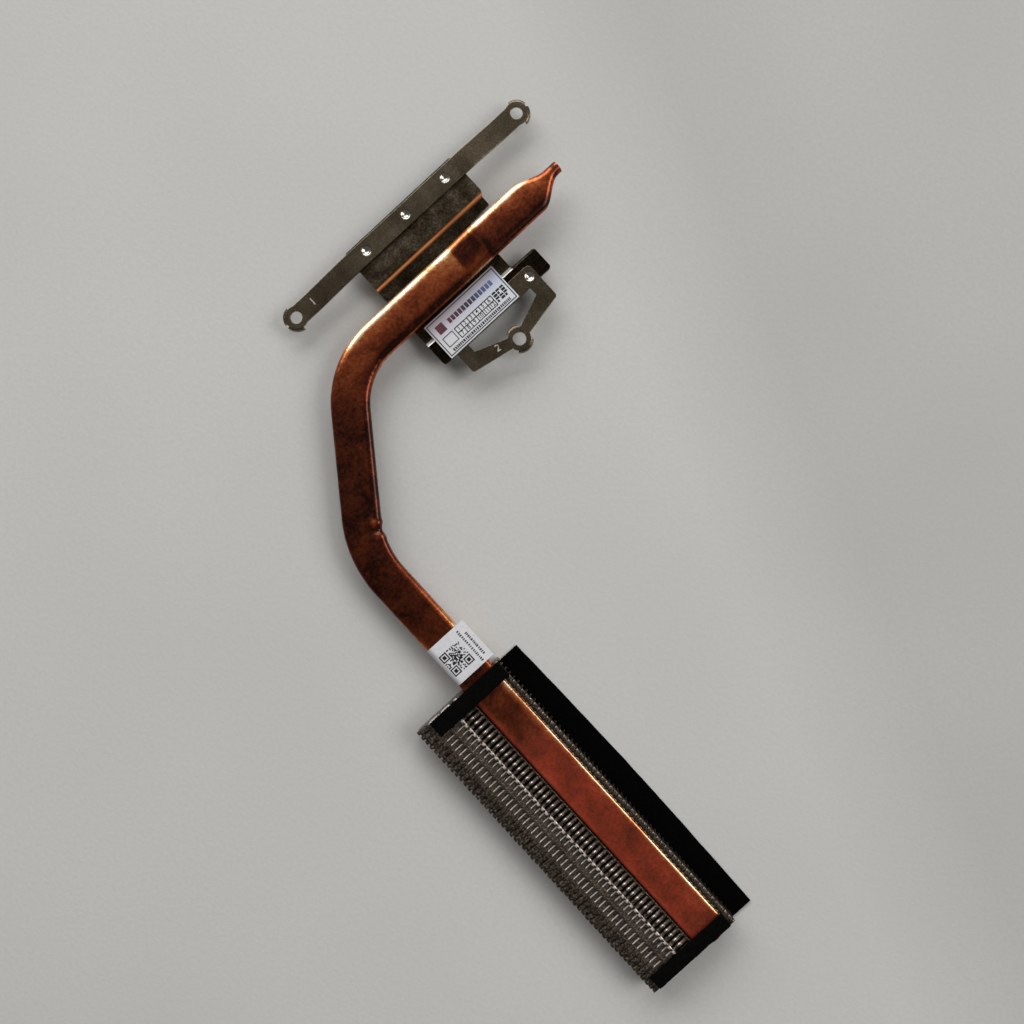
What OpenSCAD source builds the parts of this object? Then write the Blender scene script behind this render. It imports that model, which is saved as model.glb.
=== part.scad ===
// Laptop heatsink: a flattened copper heat pipe takes heat from a spring-held processor plate
// to a stack of thin fins beside the fan.
// Millimetres, +Z up. The origin lies under the middle of the copper contact block, on the
// plane where it meets the processor. The pipe's first run lies along X, the fin stack along -Y.

/* [Heat pipe] */
// Width of the flattened pipe
pipe_w = 7.8; // [7:0.1:8.4]
// Thickness of the flattened pipe
pipe_t = 2.5; // [2:0.1:3]
// Distance from the contact centre to the first bend's corner
bend_a_run = 28.8; // [27:0.1:32]
// Turn of the first bend in degrees; the second bend completes the right angle
bend_a_turn = 53; // [46:1:60]
// Centreline radius of the first bend
bend_a_r = 17; // [12:0.5:18]
// Centreline radius of the second bend
bend_b_r = 22; // [14:0.5:24]
// Distance from the contact centre to the pipe's centreline in the fin stack
stack_run = 50.8; // [49:0.1:60]
// Where the pipe starts to climb over the plate
jog_start = 1.2; // [0:0.1:3]
// Length of the climb
jog_len = 5.8; // [4:0.1:8]
// Height of the climb
jog_rise = 0.8; // [0.3:0.1:1.2]
// Where the free end starts to taper
taper_start = 21.2; // [18:0.1:24]
// Length of the taper, down to the sealed nub
taper_len = 4.2; // [3:0.1:6]
// Length of that taper on the side away from the long arm
short_taper_len = 4; // [1.5:0.1:4.2]
// Diameter of the sealed nubs
nub_d = 2.4; // [2:0.1:3]
// Length of the nub on the free end
nub_len = 2.5; // [1:0.1:5]
// Sideways offset of that nub, towards the long arm
nub_shift = 0.7; // [0:0.1:1]
// Length of the nub on the end in the fin stack
stack_nub_len = 1.6; // [1:0.1:3]
// Length of that nub that shows past the last fin
stack_nub_show = 0.5; // [0.2:0.1:1]
// Length of the rounded shoulders on the end in the fin stack
pipe_shoulder = 2; // [1.5:0.1:4]
// Depth of the kink in the inner edge of the second bend
dent_depth = 0.45; // [0:0.05:0.7]
// Distance of the kink from the start of the second bend
dent_run = 4.6; // [3:0.1:8]
// Spread of the kink along the pipe
dent_spread = 1.2; // [0.8:0.1:2]

/* [Processor plate] */
// Length of the contact block along the pipe
contact_len = 16; // [12:0.5:16.5]
// Width of the contact block
contact_w = 12; // [8:0.5:13]
// Thickness of the contact block
contact_t = 1.5; // [1:0.1:2.5]
// Left end of the plate, from the contact centre
plate_left = 14.2; // [13:0.1:15.5]
// Right end of the plate, from the contact centre
plate_right = 14.1; // [12:0.1:15.5]
// Reach of the plate on the long arm's side of the pipe
plate_front = 16.7; // [16.5:0.1:20]
// Reach of the plate on the bracket's side of the pipe
plate_back = 12.6; // [12.5:0.1:15]
// Sheet thickness of the plate
plate_t = 1; // [0.6:0.1:1.2]
// Depth of the channel that the pipe lies in
channel_depth = 0.9; // [0.4:0.1:1.2]
// Width of the channel's floor
channel_w = 13.8; // [13:0.1:15]
// Width of each sloped side of the channel, seen from above
channel_slope = 0.75; // [0.4:0.05:1.2]
// Left edge of the notch in the plate's right end, from the contact centre
notch_left = 8.3; // [8.3:0.1:10]
// Reach of the notch towards the long arm
notch_front = 4.9; // [4.5:0.1:6]
// Reach of the notch towards the bracket
notch_back = 7.4; // [5:0.1:8]
// Radius of the plate's corners beside the notch
plate_corner = 0.8; // [0.2:0.1:1.2]

/* [Springs] */
// Sheet thickness of the arm and the bracket
spring_t = 0.6; // [0.4:0.1:1]
// Width of the long arm
arm_w = 4.2; // [4:0.1:4.8]
// Distance from the pipe to the long arm's middle line
arm_y = 14.2; // [13.6:0.1:14.4]
// Distance between screw holes 1 and 3
arm_hole_spacing = 58.8; // [57:0.1:66]
// Length of the long arm's level ends, up to the rings round its holes
arm_level = 3; // [1:0.5:4]
// Length of the slopes that lead down to them
arm_slope = 8; // [4:0.5:9]
// Drop of the long arm's ends below its middle
arm_drop = 0.7; // [0:0.1:1.2]
// Diameter of screw holes 1 and 3
arm_hole_d = 2.4; // [2.2:0.1:2.6]
// Distance from the pipe to screw hole 2
bracket_hole_y = 18.8; // [18.4:0.1:21]
// Diameter of screw hole 2
bracket_hole_d = 2.6; // [2.2:0.1:2.8]
// Width of the bracket over its legs
bracket_w = 22.2; // [21.5:0.1:24]
// Width of the bracket's legs
bracket_leg_w = 2.9; // [2.4:0.1:3.4]
// Width of the bracket's slanted branches
bracket_branch_w = 2.5; // [2.2:0.1:3]
// Distance from the pipe to the near edge of the bracket's root bar
root_near = 9.2; // [9.2:0.1:9.8]
// Width of the bracket's root bar
root_w = 3.7; // [3.4:0.1:4.2]
// Distance from the pipe to the outer corners of the bracket
elbow_y = 17.2; // [16.8:0.1:18]
// Outer diameter of the flat ring round each screw hole
eye_d = 4.6; // [4.2:0.1:5]
// Reach of the rolled skirts beyond the ring
skirt_reach = 0.45; // [0.3:0.05:0.8]
// Thickness of the rolled skirts
skirt_t = 0.4; // [0.3:0.05:0.5]
// Depth of the rolled skirts below the spring's top face
skirt_depth = 1.3; // [1:0.1:1.5]

/* [Rivets] */
// Spacing of the long arm's rivets
arm_rivet_pitch = 10.45; // [9:0.05:12]
// Spacing of the bracket's rivets
bracket_rivet_pitch = 9.6; // [8:0.1:9.8]
// Distance from the pipe to the bracket's rivets
bracket_rivet_y = 11.2; // [10.9:0.1:11.3]
// Diameter of a rivet's shank
rivet_d = 1.9; // [1.6:0.1:2.1]
// Diameter of a rivet's closed head under the plate
rivet_head_d = 2.6; // [2.3:0.1:2.7]
// Thickness of the closed head
rivet_head_t = 0.3; // [0.2:0.05:0.5]
// Width of the flat rim round the dish in a rivet's top
rivet_rim = 0.1; // [0.05:0.05:0.3]
// Depth of that dish
rivet_dish = 0.5; // [0.2:0.05:0.6]

/* [Fin stack] */
// Number of fins
fin_count = 57; // [40:1:60]
// Distance from one fin to the next
fin_pitch = 1.215; // [1.1:0.005:1.4]
// Thickness of a fin
fin_t = 0.2; // [0.15:0.01:0.25]
// Height of a fin
fin_h = 4.6; // [4.4:0.1:6]
// Distance from the contact centre to the first fin
stack_start = 62.2; // [62:0.1:66]
// Reach of the fins beyond the pipe's centreline on the exhaust side
exhaust_reach = 16.1; // [15:0.1:18]
// Reach of the fins beyond the pipe's centreline on the fan side
fan_reach = 5.1; // [5:0.1:7]
// Bare fin edge that stands past the folded flanges on the exhaust side
bare_edge = 2; // [1:0.1:2.6]
// Width of the slots between the flanges
slot_w = 0.5; // [0.3:0.05:0.6]
// Height of the clinched tabs over the flanges
tab_h = 0.2; // [0.1:0.05:0.3]

/* [Foam and labels] */
// Thickness of the foam bands
foam_t = 0.9; // [0.6:0.1:1.4]
// Width of the foam band at the near end of the stack
near_foam_w = 3.4; // [2:0.1:4]
// Distance from the fins' exhaust edge to the near band
near_foam_inset = 3.2; // [1:0.1:5]
// Width of the foam band at the far end of the stack
far_foam_w = 2.9; // [2:0.1:4]
// Distance from the fins' exhaust edge to the far band
far_foam_inset = 1.5; // [0.5:0.1:4]
// Distance from the fins' fan edge to the far band
far_foam_fan_inset = 1.1; // [0.5:0.1:2]
// Distance that the near band is set back from the first fin
foam_setback = 0.2; // [0:0.1:1]
// Thickness of the sealing strip
strip_t = 0.4; // [0.2:0.05:0.6]
// Reach of the sealing strip past the fins
strip_reach = 4.4; // [3:0.1:6]
// Width of the sealing strip that lies under the fins
strip_under = 2.5; // [1.5:0.1:4]
// Distance that the sealing strip is set back from the first fin
strip_setback = 0.6; // [0:0.1:1]
// Length of the sealing strip past the last fin
strip_overrun = 1.2; // [0:0.1:2]
// Thickness of the paper labels
label_t = 0.1; // [0.08:0.01:0.15]
// Length of the label on the pipe
pipe_label_len = 9.1; // [7:0.1:9.4]
// Distance from the pipe's label to the first fin
pipe_label_gap = 1.5; // [1.2:0.1:2]
// Width of the flap that the pipe's label leaves standing past its rounded edge
label_flap = 2.8; // [1:0.1:3.5]
// Length of the label on the plate
base_label_len = 17.9; // [16:0.1:20]
// Width of the label on the plate
base_label_w = 8.1; // [7.5:0.1:8.2]
// Distance from the far edge of the bracket's root bar to the plate label
base_label_inset = 0.2; // [0:0.1:0.4]
// Distance from the contact centre to the plate label's left end
base_label_left = 12.4; // [11:0.1:13]

/* [Hidden] */
$fn = 48;

// Clearance between pieces that are pressed or soldered together
seat_gap = 0.05;
// Overlap of solids that are joined into one piece
join = 0.02;

// Levels, from the processor's face upwards
floor_z = contact_t + plate_t;
wing_z = floor_z + channel_depth;
spring_z = wing_z + spring_t;
pipe_z = floor_z + pipe_t / 2;
pipe_top = floor_z + pipe_t;
fin_z = pipe_top - fin_h;

// The pipe's corners and the lengths that its bends take from the straight runs
bend_b_turn = 90 - bend_a_turn;
bend_b_y = (stack_run - bend_a_run) * tan(bend_a_turn);
bend_a_tan = bend_a_r * tan(bend_a_turn / 2);
bend_b_tan = bend_b_r * tan(bend_b_turn / 2);
leg_len = (stack_run - bend_a_run) / cos(bend_a_turn);

// The fin stack's outline
stack_len = (fin_count - 1) * fin_pitch + fin_t;
stack_end = stack_start + stack_len;
stack_left = -stack_run - exhaust_reach;
stack_right = -stack_run + fan_reach;
groove_half = pipe_w / 2 + seat_gap;
flange_left = stack_left + bare_edge;
flange_right = -stack_run - groove_half;

// Rows on top of the fins, measured from the pipe's centreline towards the exhaust side:
// [start, width] of the three rows of slots, and of the three rows of clinched tabs
slot_rows = [[11.3, 2.4], [8.9, 1.9], [4.9, 2.6]];
tab_rows = [[10.9, 0.35], [7.9, 0.75], [6.7, 0.4]];
fan_tab = 0.5;
// The fins between the two foam bands, where the clinched tabs stand up
first_bare = ceil((foam_setback + near_foam_w) / fin_pitch);
last_bare = fin_count - 2 - ceil(far_foam_w / fin_pitch);

// The turned-down skirts: how much of each ring they go round, and the arm's turn from its axis
arm_skirt_span = 74;
arm_skirt_turn = 47;
far_skirt_span = 95;
near_skirt_span = 60;

// The bracket's points, with the neck between its branches and the ring round its hole
leg_x = bracket_w / 2;
neck_x = eye_d * 0.2;
neck_y = bracket_hole_y + 0.8;
root_far = root_near + root_w;

// Where the pipe's centreline is, a distance d along it from the tip of the free end, as [x, y, heading]
free_tip = taper_start + taper_len + nub_len;
run_a = free_tip + bend_a_run - bend_a_tan;
arc_a = bend_a_r * bend_a_turn * PI / 180;
run_leg = leg_len - bend_a_tan - bend_b_tan;
arc_b = bend_b_r * bend_b_turn * PI / 180;
run_b = run_a + arc_a + run_leg;
pipe_len = run_b + arc_b + stack_end + stack_nub_show - bend_b_y - bend_b_tan;

function ahead(p, len) = [p[0] + len * cos(p[2]), p[1] + len * sin(p[2]), p[2]];
function turned(p, r, a) =
    [p[0] + r * (sin(p[2] + a) - sin(p[2])), p[1] + r * (cos(p[2]) - cos(p[2] + a)), p[2] + a];
function bend_a_end() = turned([free_tip - run_a, 0, 180], bend_a_r, bend_a_turn);
function bend_b_end() = turned(ahead(bend_a_end(), run_leg), bend_b_r, bend_b_turn);
function path(d) =
    d < run_a ? [free_tip - d, 0, 180] :
    d < run_a + arc_a ? turned([free_tip - run_a, 0, 180], bend_a_r, (d - run_a) / arc_a * bend_a_turn) :
    d < run_b ? ahead(bend_a_end(), d - run_a - arc_a) :
    d < run_b + arc_b ? turned(ahead(bend_a_end(), run_leg), bend_b_r, (d - run_b) / arc_b * bend_b_turn) :
    ahead(bend_b_end(), d - run_b - arc_b);

// The pipe's reach to the inside and the outside of its bends at a distance d, its thickness and
// its lift, and how far its inner edge is pinched in
function ease(u) = let (v = min(max(u, 0), 1)) v * v * (3 - 2 * v);
function end_ease(u) = sqrt(1 - pow(1 - min(max(u, 0), 1), 2));
function to_stack_nub(d) = (pipe_len - stack_nub_len - d) / pipe_shoulder;
function reach(d, nub_reach, len) = min(
    nub_reach + (pipe_w / 2 - nub_reach) * ease((d - nub_len) / len),
    nub_d / 2 + (pipe_w - nub_d) / 2 * end_ease(to_stack_nub(d)));
function inner_reach(d) = reach(d, nub_d / 2 - nub_shift, short_taper_len);
function outer_reach(d) = reach(d, nub_d / 2 + nub_shift, taper_len);
function pipe_thick(d) =
    nub_d + (pipe_t - nub_d) * min(ease((d - nub_len) / short_taper_len), ease(to_stack_nub(d)));
function pipe_lift(d) = jog_rise * min(max((free_tip - jog_start - d) / jog_len, 0), 1);
function pinch(d) = dent_depth * exp(-pow((d - run_b - dent_run) / dent_spread, 2));

// The pipe's section at a distance d: two half rounds joined by flats
half_round = [for (i = [0 : 8]) -90 + i * 22.5];
function section(d) = let (half_t = pipe_thick(d) / 2) concat(
    [for (a = half_round) [inner_reach(d) - half_t + (half_t - pinch(d)) * cos(a), half_t * sin(a)]],
    [for (a = half_round) [half_t - outer_reach(d) - half_t * cos(a), -half_t * sin(a)]]);
function ring(d) = let (p = path(d))
    [for (q = section(d)) [p[0] - q[0] * sin(p[2]), p[1] + q[0] * cos(p[2]), q[1] + pipe_lift(d)]];

// Distances of the rings: close together where the pipe tapers, bends or is dented
pipe_stations = concat(
    [0, nub_len],
    [for (i = [1 : 8]) nub_len + i * taper_len / 8],
    [free_tip - jog_start - jog_len, free_tip - jog_start, run_a],
    [for (i = [1 : 14]) run_a + i * arc_a / 14],
    [run_b],
    [for (i = [1 : 16]) run_b + i * arc_b / 16],
    [for (i = [0 : 8]) pipe_len - stack_nub_len - pipe_shoulder * cos(i * 11.25)],
    [pipe_len]);

module heatpipe() {
    rings = [for (d = pipe_stations) ring(d)];
    n = len(rings[0]);
    last = len(rings) - 1;
    walls = [for (k = [0 : last - 1], i = [0 : n - 1])
        [k * n + i, k * n + (i + 1) % n, (k + 1) * n + (i + 1) % n, (k + 1) * n + i]];
    ends = [[for (i = [n - 1 : -1 : 0]) i], [for (i = [0 : n - 1]) last * n + i]];
    color("#8a4326") translate([0, 0, pipe_z])
        polyhedron([for (r = rings, p = r) p], concat(walls, ends), convexity = 6);
}

// The flattened pipe's section in plain shapes, as wide as w and as thick as t
module obround(w, t) {
    square([w - t, t], center = true);
    for (side = [-1, 1]) {
        translate([side * (w - t) / 2, 0]) circle(d = t);
    }
}

// What a round corner takes off at the right end of the plate, above or below y
module corner_waste(y, side) {
    translate([plate_right, y]) scale([1, side]) difference() {
        translate([-plate_corner, -join]) square(plate_corner + join);
        translate([-plate_corner, plate_corner]) circle(plate_corner);
    }
}

// The plate's plan, with the notch that clears the pipe's free end
module plate_outline() {
    difference() {
        translate([-plate_left, -plate_back]) square([plate_left + plate_right, plate_back + plate_front]);
        translate([notch_left, -notch_back]) square([plate_right, notch_back + notch_front]);
        corner_waste(notch_front, 1);
        corner_waste(-notch_back, -1);
        corner_waste(-plate_back, 1);
    }
}

// The plate's section across the pipe: two wings and the sunken channel between them
module plate_section() {
    half = channel_w / 2;
    top = [[-plate_back - 1, channel_depth], [-half - channel_slope, channel_depth], [-half, 0],
        [half, 0], [half + channel_slope, channel_depth], [plate_front + 1, channel_depth]];
    bottom = [for (i = [len(top) - 1 : -1 : 0]) [top[i][0], top[i][1] - plate_t]];
    polygon(concat(top, bottom));
}

module rivet_holes(pitch, y) {
    for (i = [-1 : 1]) {
        translate([i * pitch, y, contact_t]) cylinder(d = rivet_d + 2 * seat_gap, h = spring_z);
    }
}

module base_plate() {
    color("#4c4743") difference() {
        intersection() {
            translate([-plate_left - 1, 0, floor_z]) rotate([90, 0, 90])
                linear_extrude(plate_left + plate_right + 2) plate_section();
            linear_extrude(spring_z) plate_outline();
        }
        rivet_holes(arm_rivet_pitch, arm_y);
        rivet_holes(bracket_rivet_pitch, -bracket_rivet_y);
    }
}

module contact_block() {
    color("#a5603a") translate([0, 0, contact_t / 2])
        cube([contact_len, contact_w, contact_t], center = true);
}

// A rolled skirt round part of an eye: a quarter round at its top, then a straight wall
module skirt(span) {
    outer = eye_d / 2 + skirt_reach;
    roll = skirt_reach + skirt_t / 4;
    rotate([0, 0, -span / 2]) rotate_extrude(angle = span, $fn = 64) {
        translate([outer - roll, -roll]) intersection() {
            circle(roll);
            square(roll);
        }
        translate([outer - skirt_t, -skirt_depth]) square([skirt_t, skirt_depth - roll + join]);
    }
}

// The long arm's side view: flat over the plate, then a slope down to level ends
module arm_side() {
    tip = arm_hole_spacing / 2 + eye_d;
    level = arm_hole_spacing / 2 - eye_d / 2 - arm_level;
    flat = level - arm_slope;
    top = [[-tip, -arm_drop], [-level, -arm_drop], [-flat, 0], [flat, 0], [level, -arm_drop],
        [tip, -arm_drop]];
    bottom = [for (i = [len(top) - 1 : -1 : 0]) [top[i][0], top[i][1] - spring_t]];
    polygon(concat(top, bottom));
}

module arm_outline() {
    half = arm_hole_spacing / 2;
    square([arm_hole_spacing, arm_w], center = true);
    for (side = [-1, 1]) {
        translate([side * half, 0]) circle(d = eye_d);
    }
}

module long_arm() {
    half = arm_hole_spacing / 2;
    eye_z = spring_z - arm_drop;
    color("#6f675e") difference() {
        union() {
            intersection() {
                translate([0, arm_y + arm_w, spring_z]) rotate([90, 0, 0])
                    linear_extrude(2 * arm_w) arm_side();
                translate([0, arm_y, 0]) linear_extrude(spring_z + 1) arm_outline();
            }
            for (side = [-1, 1], turn = [-arm_skirt_turn, arm_skirt_turn]) {
                translate([side * half, arm_y, eye_z]) rotate([0, 0, 90 - side * 90 + turn])
                    skirt(arm_skirt_span);
            }
        }
        for (side = [-1, 1]) {
            translate([side * half, arm_y, 0]) cylinder(d = arm_hole_d, h = spring_z + 1);
        }
        rivet_holes(arm_rivet_pitch, arm_y);
    }
}

// The bracket's plan: a root bar on the plate, two legs and two branches that meet at the eye
module bracket_outline() {
    inner_x = leg_x - bracket_leg_w;
    inner_y = elbow_y - bracket_branch_w;
    difference() {
        union() {
            translate([-leg_x, -elbow_y]) square([bracket_w, elbow_y - root_near]);
            polygon([[-leg_x, -elbow_y], [leg_x, -elbow_y], [neck_x, -neck_y], [-neck_x, -neck_y]]);
        }
        polygon([[-inner_x, -root_far], [inner_x, -root_far], [inner_x, -inner_y],
            [2 * neck_x, -neck_y + bracket_branch_w], [-2 * neck_x, -neck_y + bracket_branch_w],
            [-inner_x, -inner_y]]);
    }
    translate([0, -bracket_hole_y]) circle(d = eye_d);
}

module v_bracket() {
    color("#6f675e") difference() {
        union() {
            translate([0, 0, wing_z]) linear_extrude(spring_t) bracket_outline();
            translate([0, -bracket_hole_y, spring_z]) {
                rotate([0, 0, -90]) skirt(far_skirt_span);
                rotate([0, 0, 90]) skirt(near_skirt_span);
            }
        }
        translate([0, -bracket_hole_y, 0]) cylinder(d = bracket_hole_d, h = spring_z + 1);
        rivet_holes(bracket_rivet_pitch, -bracket_rivet_y);
    }
}

// A rivet flush with the spring's top, with a dished top and its closed head under the plate
module rivet() {
    shank = plate_t + spring_t;
    dish_r = rivet_d / 2 - rivet_rim;
    head_r = rivet_head_d / 2;
    head_z = -shank - rivet_head_t;
    color("#b9b4ad") rotate_extrude() polygon([[0, head_z], [head_r, head_z], [head_r, -shank],
        [rivet_d / 2, -shank], [rivet_d / 2, 0], [dish_r, 0], [dish_r * 0.7, -rivet_dish * 0.7],
        [0, -rivet_dish]]);
}

module arm_rivet(i) {
    translate([i * arm_rivet_pitch, arm_y, spring_z]) rivet();
}

module bracket_rivet(i) {
    translate([i * bracket_rivet_pitch, -bracket_rivet_y, spring_z]) rivet();
}

// One small rectangle for each fin from first to last: it starts y past the fin's near face and
// reaches len towards the far end
module per_fin(x, w, y, len, first, last) {
    for (i = [first : last]) {
        translate([x, -stack_start - i * fin_pitch - y - len]) square([w, len]);
    }
}

// The folded flanges on top: solid between the rows of slots
module top_flanges() {
    difference() {
        translate([flange_left, -stack_end]) square([flange_right - flange_left + join, stack_len]);
        for (row = slot_rows) {
            per_fin(-stack_run - row[0] - row[1], row[1], fin_t, slot_w, 0, fin_count - 2);
        }
    }
    per_fin(stack_right - fan_tab, fan_tab, 0, fin_pitch * 0.6, 0, fin_count - 2);
}

// The clinched tabs that stand up over the flanges, between the foam bands
module clinched_tabs() {
    for (row = tab_rows) {
        per_fin(-stack_run - row[0] - row[1], row[1], 0, fin_pitch * 0.75, first_bare, last_bare);
    }
}

// The room that the pipe takes up in the fins, open at the top
module groove() {
    translate([-stack_run, -stack_start + 1, pipe_z]) rotate([90, 0, 0]) linear_extrude(stack_len + 2) {
        obround(pipe_w + 2 * seat_gap, pipe_t + 2 * seat_gap);
        translate([-groove_half, 0]) square([2 * groove_half, pipe_t]);
    }
}

module fin_stack() {
    bottom_left = stack_left + bare_edge / 3;
    color("#7d736b") difference() {
        union() {
            translate([0, 0, fin_z]) linear_extrude(fin_h)
                per_fin(stack_left, stack_right - stack_left, 0, fin_t, 0, fin_count - 1);
            translate([0, 0, pipe_top - fin_t]) linear_extrude(fin_t) top_flanges();
            translate([bottom_left, -stack_end, fin_z]) cube([stack_right - bottom_left, stack_len, fin_t]);
            translate([0, 0, pipe_top - join]) linear_extrude(tab_h + join) clinched_tabs();
        }
        groove();
    }
}

module near_foam() {
    left = stack_left + near_foam_inset;
    color("#161514") translate([left, -stack_start - near_foam_w - foam_setback, pipe_top])
        cube([stack_right - left, near_foam_w, foam_t]);
}

module far_foam() {
    left = stack_left + far_foam_inset;
    color("#161514") translate([left, -stack_end, pipe_top])
        cube([stack_right - far_foam_fan_inset - left, far_foam_w, foam_t]);
}

module sealing_strip() {
    color("#0f0f0f") translate([stack_right - strip_under, -stack_end - strip_overrun, fin_z - strip_t])
        cube([strip_under + strip_reach, stack_len + strip_overrun - strip_setback, strip_t]);
}

// Paper over the pipe's flat top: it wraps the rounded edge on the exhaust side, and its flap
// stands off the other one
module pipe_label() {
    flat = (pipe_w - pipe_t) / 2;
    top = pipe_t / 2;
    droop = label_flap * 0.12;
    flap = flat + label_flap;
    skin = top + label_t;
    far_edge = -stack_start + pipe_label_gap;
    color("white") translate([-stack_run, far_edge + pipe_label_len, pipe_z]) rotate([90, 0, 0])
        linear_extrude(pipe_label_len) {
            translate([-flat, top]) square([2 * flat, label_t]);
            polygon([[flat, top], [flap, top - droop], [flap, skin - droop], [flat, skin]]);
            translate([-flat, 0]) intersection() {
                difference() {
                    circle(skin);
                    circle(top);
                }
                translate([-pipe_w, 0]) square([pipe_w, pipe_t]);
            }
        }
}

// Paper stuck on the bracket's root bar, with its upper edge over the channel
module base_label() {
    color("white") translate([-base_label_left, base_label_inset - root_far, spring_z])
        cube([base_label_len, base_label_w, label_t]);
}

heatpipe();
base_plate();
contact_block();
long_arm();
v_bracket();
arm_rivet(-1);  // arm_rivet_1
arm_rivet(0);  // arm_rivet_2
arm_rivet(1);  // arm_rivet_3
bracket_rivet(-1);  // bracket_rivet_1
bracket_rivet(0);  // bracket_rivet_2
bracket_rivet(1);  // bracket_rivet_3
fin_stack();
near_foam();
far_foam();
sealing_strip();
pipe_label();
base_label();
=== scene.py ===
"""A laptop heatsink, dressed piece by piece in the order in which the real one is put together."""
import math
import random

import bmesh
import bpy
from mathutils import Matrix, Vector, noise


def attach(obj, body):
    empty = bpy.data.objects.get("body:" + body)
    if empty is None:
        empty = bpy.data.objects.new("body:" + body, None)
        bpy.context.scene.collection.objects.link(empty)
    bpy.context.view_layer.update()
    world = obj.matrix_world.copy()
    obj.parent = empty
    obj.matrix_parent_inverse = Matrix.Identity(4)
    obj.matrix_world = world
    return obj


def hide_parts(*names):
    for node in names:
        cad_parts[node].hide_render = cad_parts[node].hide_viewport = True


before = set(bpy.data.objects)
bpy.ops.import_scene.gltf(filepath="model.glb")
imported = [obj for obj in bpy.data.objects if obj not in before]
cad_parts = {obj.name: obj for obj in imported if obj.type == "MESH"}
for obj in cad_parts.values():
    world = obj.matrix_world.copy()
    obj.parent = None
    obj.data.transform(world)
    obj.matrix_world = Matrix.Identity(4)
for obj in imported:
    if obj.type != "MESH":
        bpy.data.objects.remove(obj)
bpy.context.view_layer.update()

MM = 0.001

# The view: a phone camera held almost straight over the table, where the long arm's end points up
# and to the right. Nothing here belongs to the part.
scene = bpy.context.scene
scene.view_settings.view_transform = "Standard"


def new_object(name, data):
    """Puts an object with that data into the scene."""
    made = bpy.data.objects.new(name, data)
    scene.collection.objects.link(made)
    return made


camera = new_object("camera", bpy.data.cameras.new("camera"))
camera.data.lens = 35.805
camera.data.sensor_width = 36
camera.data.clip_start = 10 * MM
image_right = Vector((0.73644, -0.67598, -0.01970))
image_up = Vector((0.67597, 0.73667, -0.00820))
towards_camera = image_right.cross(image_up)
camera_turn = Matrix((image_right, image_up, towards_camera)).transposed().to_4x4()
camera.matrix_world = Matrix.Translation(Vector((-20.01, -44.18, 203.05)) * MM) @ camera_turn
scene.camera = camera


# The table: a sheet of pale, uncoated paper board with a faint tooth. It only carries the part.
def linear(code):
    """Turns an sRGB hex colour to the linear values that the shaders take."""
    parts = [int(code[i : i + 2], 16) / 255 for i in (1, 3, 5)]
    return tuple(c / 12.92 if c <= 0.04045 else ((c + 0.055) / 1.055) ** 2.4 for c in parts) + (1.0,)


def new_finish(name, **sockets):
    """Starts a finish: its material, its node tree and its shader, with sockets set by name."""
    material = bpy.data.materials.new(name)
    material.use_nodes = True
    shader = material.node_tree.nodes["Principled BSDF"]
    for socket, value in sockets.items():
        shader.inputs[socket.replace("_", " ")].default_value = value
    return material, material.node_tree, shader


def add(tree, kind, inputs, **settings):
    """Adds a node: settings are its own properties, inputs its sockets' values or the links to them."""
    node = tree.nodes.new(kind)
    for key, value in settings.items():
        setattr(node, key, value)
    for key, value in inputs.items():
        if isinstance(value, bpy.types.NodeSocket):
            tree.links.new(value, node.inputs[key])
        else:
            node.inputs[key].default_value = value
    return node


def feed(shader, **sockets):
    """Links the shader's sockets, set by name, to what feeds them."""
    for socket, source in sockets.items():
        shader.id_data.links.new(source, shader.inputs[socket.replace("_", " ")])


def grain(tree, where, size_mm, detail=3.0, roughness=0.6, distortion=0.0):
    """Noise whose blotches are about size_mm across."""
    inputs = {"Vector": where, "Scale": 1 / (size_mm * MM), "Detail": detail, "Roughness": roughness,
              "Distortion": distortion}
    return add(tree, "ShaderNodeTexNoise", inputs).outputs["Fac"]


def tones(tree, factor, stops):
    """A colour ramp: stops are (position, hex colour)."""
    node = add(tree, "ShaderNodeValToRGB", {"Fac": factor})
    ramp = node.color_ramp
    while len(ramp.elements) < len(stops):
        ramp.elements.new(0.5)
    for element, (position, code) in zip(ramp.elements, stops):
        element.position = position
        element.color = linear(code)
    return node.outputs["Color"]


def levels(tree, value, low, high, to_low, to_high):
    """Stretches a value from low..high to to_low..to_high, and clamps it there."""
    inputs = {"Value": value, "From Min": low, "From Max": high, "To Min": to_low, "To Max": to_high}
    return add(tree, "ShaderNodeMapRange", inputs).outputs["Result"]


def maths(tree, operation, first, second):
    """One sum of two values or links."""
    return add(tree, "ShaderNodeMath", {0: first, 1: second}, operation=operation).outputs[0]


def mix(tree, share, first, second):
    """The first colour where share is 0, the second where it is 1."""
    inputs = {"Factor": share, 6: first, 7: second}
    return add(tree, "ShaderNodeMix", inputs, data_type="RGBA").outputs[2]


def relief(tree, height, depth_mm):
    """Fine relief in the surface, depth_mm deep."""
    inputs = {"Height": height, "Distance": depth_mm * MM}
    return add(tree, "ShaderNodeBump", inputs).outputs["Normal"]


def object_place(tree):
    """The point's own place on the piece, in metres."""
    return add(tree, "ShaderNodeTexCoord", {}).outputs["Object"]


def piece_from(bm, name, material, crease=35):
    """Makes a shaped bmesh into an object of that name. It is smooth, but sharp where it turns by
    crease degrees."""
    mesh = bpy.data.meshes.new(name)
    bm.to_mesh(mesh)
    bm.free()
    mesh.shade_smooth()
    mesh.set_sharp_from_angle(angle=math.radians(crease))
    mesh.materials.append(material)
    return new_object(name, mesh)


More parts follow.
